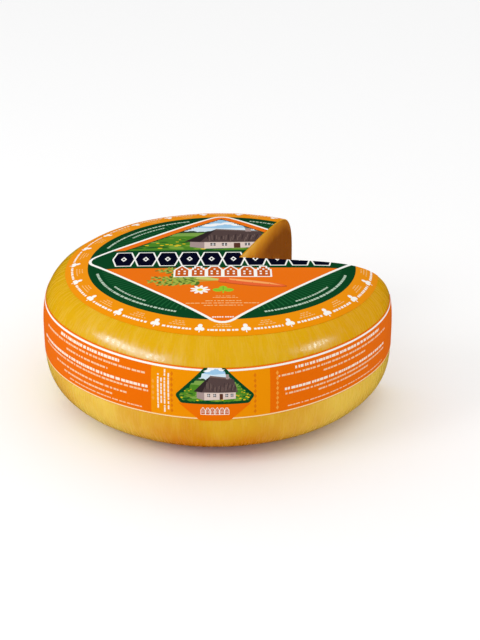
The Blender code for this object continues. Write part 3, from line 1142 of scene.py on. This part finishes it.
def rind_material():
    """Golden-yellow coated rind: cloudy colour, a painted sheen low at its sides, painted shade high on its
    right, brush streaks and a soft shine.
    """
    material, tree, shader = new_material("rind")
    place = object_place(tree)
    height = split(place)["Z"]
    away = vector_step("NORMALIZE", vector_step("MULTIPLY", place, (1.0, 1.0, 0.0)))
    right = split(away)["X"]
    on_rim = vector_step("MULTIPLY", away, (WHEEL_RADIUS, WHEEL_RADIUS, 0.0))
    clouds = noise_on(vector_step("MULTIPLY", place, (1.0, 1.0, 0.7)), 26.0, 5.0)

    def brushed(share, scale, detail):
        """Noise in upright strokes: it changes quickly along the rim and slowly up and down."""
        squeezed = vector_step("MULTIPLY", place, (share, share, share))
        return noise_on(vector_step("ADD", on_rim, squeezed), scale, detail)

    strokes, streaks = brushed(0.3, 110.0, 1.0), brushed(0.2, 620.0, 3.0)
    colour = colour_ramp(plus(times(height, 0.65 / WHEEL_HEIGHT), times(clouds, 0.35)), RIND_SHADES)
    low_down = ranged(height, BAND_LOWER_EDGE, BAND_UPPER_EDGE, 1.0, 0.0)
    # Painted sheen: paler low down towards the left and right sides, most on the left, broken up by the
    # clouds.
    painted_side_sheen = times(times(times(right, right), 2.8), low_down)
    painted_side_sheen = times(painted_side_sheen, ranged(clouds, 0.3, 0.6, 0.5, 0.95))
    painted_side_sheen = times(painted_side_sheen, ranged(right, -1.0, 1.0, 1.0, 0.68))
    colour = mixed(painted_side_sheen, colour, SIDE_SHEEN_WAX)
    milky = times(ranged(clouds, 0.50, 0.78, 0.0, 0.34), ranged(height, 0.012, 0.06, 0.2, 1.0))
    colour = mixed(milky, colour, MILKY_WAX)
    colour = mixed(ranged(strokes, 0.42, 0.72, 0.0, 0.22), colour, BRUSHED_WAX)
    # Painted shade: a deeper colour high on the right side.
    painted_right_shade = minus(minus(times(right, 1.4), 0.45), low_down)
    colour = mixed(painted_right_shade, colour, RIGHT_SHADE_WAX)

    ragged = plus(times(streaks, 0.8), times(strokes, 0.2))
    combed = times(streaks, ranged(height, 0.012, 0.045, 0.0, 0.05))
    pores = times(noise_on(place, 420.0, 4.0), 0.3)
    set_up(shader, Base_Color=colour, Specular_IOR_Level=0.2,
           Roughness=ranged(ragged, 0.40, 0.60, 0.15, 0.34), Subsurface_Weight=0.08,
           Subsurface_Radius=(1.0, 0.5, 0.15), Subsurface_Scale=0.003,
           Normal=bump(plus(combed, pores), 0.3, 0.0004))
    return material


def paste_material():
    """Cut cheese: dense and dull, golden in the middle, darker in a crust near the rind, and on the notch's
    back wall darkened by painted shade.
    """
    material, tree, shader = new_material("paste")
    place = object_place(tree)
    crust_and_shade = node(tree, "ShaderNodeAttribute", attribute_name="crust_and_shade").outputs["Fac"]
    mottled = minus(plus(crust_and_shade, times(noise_on(place, 70.0, 5.0), 0.24)), 0.11)
    set_up(shader, Base_Color=colour_ramp(mottled, PASTE_SHADES), Roughness=0.5, Specular_IOR_Level=0.05,
           Subsurface_Weight=0.12, Subsurface_Radius=(1.0, 0.55, 0.2), Subsurface_Scale=0.003,
           Normal=bump(noise_on(place, 420.0, 5.0), 0.35, 0.0005))
    return material


# Stage
FLOOR_HALF_WIDTH = 8.0
FLOOR_WHITE, SURROUND_WHITE = (0.98, 0.98, 0.98, 1.0), (1.0, 1.0, 1.0, 1.0)
LEFT_GLEAM, RIGHT_GLEAM = (0.45, 0.75, 1.0), (0.6, 0.9, 1.0)


def add_camera():
    data = bpy.data.cameras.new("camera")
    data.lens = CAMERA_LENS
    camera = add_object("camera", data)
    camera.location = CAMERA_PLACE
    camera.rotation_euler = (math.pi / 2.0 - CAMERA_PITCH, 0.0, -CAMERA_YAW)
    bpy.context.scene.camera = camera


def add_softbox(name, start, end, width, power, gleam=None, shiny=None):
    """A flat rectangular light whose long middle line runs between two points. It faces the wheel.

    With the colour of a gleam it only shows as a reflection in the shiny pieces. Without, it shows in none.
    """
    start, end = Vector(start), Vector(end)
    data = bpy.data.lights.new(name, "AREA")
    data.shape = "RECTANGLE"
    data.size, data.size_y = (end - start).length, width
    data.energy = power
    light = add_object(name, data)
    middle, along = (start + end) / 2.0, (end - start).normalized()
    across = (middle - Vector((0.0, 0.0, WHEEL_HEIGHT / 2.0))).cross(along).normalized()
    axes = Matrix((along, across, along.cross(across))).transposed()
    light.matrix_world = Matrix.LocRotScale(middle, axes, None)
    light.visible_diffuse = gleam is None
    light.visible_glossy = gleam is not None
    if gleam:
        data.color = gleam
        light.light_linking.receiver_collection = shiny


def add_stage(shiny):
    """A plain pale floor, an even white surround and soft studio lights."""
    square = rectangle(-FLOOR_HALF_WIDTH, -FLOOR_HALF_WIDTH, FLOOR_HALF_WIDTH, FLOOR_HALF_WIDTH)
    floor = add_mesh("floor", [(x, y, 0.0) for x, y in square], [(0, 1, 2, 3)])
    material, _, shader = new_material("floor")
    set_up(shader, Base_Color=FLOOR_WHITE, Roughness=0.8)
    floor.data.materials.append(material)
    floor.visible_glossy = False
    world = bpy.data.worlds.new("surround")
    bpy.context.scene.world = world
    world.use_nodes = True
    set_up(world.node_tree.nodes["Background"], Color=SURROUND_WHITE, Strength=1.0)
    world.cycles_visibility.glossy = False
    add_softbox("key_left", (-0.98, -0.28, 0.86), (-0.98, -0.72, 0.56), 0.34, 3.3)
    add_softbox("gleam_left", (-1.01, -0.14, 0.59), (-0.64, -0.98, 0.38), 0.25, 28.0, LEFT_GLEAM, shiny)
    add_softbox("gleam_right", (1.05, -0.36, 0.60), (0.95, -0.66, 0.44), 0.22, 8.0, RIGHT_GLEAM, shiny)
    bpy.context.scene.view_settings.view_transform = "Standard"


def main():
    add_camera()
    shiny = bpy.data.collections.new("shiny")
    add_stage(shiny)
    inks = {name: printed_material(name, colour) for name, colour in PRINT_COLOURS.items()}
    wheel = build_wheel(rind_material(), paste_material())
    shiny.objects.link(wheel)
    label = paper_piece("printed_label", draw_label(), on_top, inks, "ring_orange")
    band = paper_piece("printed_band", draw_band(), on_side, inks, "band_orange")
    for piece, solid in ((wheel, "cheese"), (label, "top_label"), (band, "side_band")):
        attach(piece, "root")
        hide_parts(solid)


main()
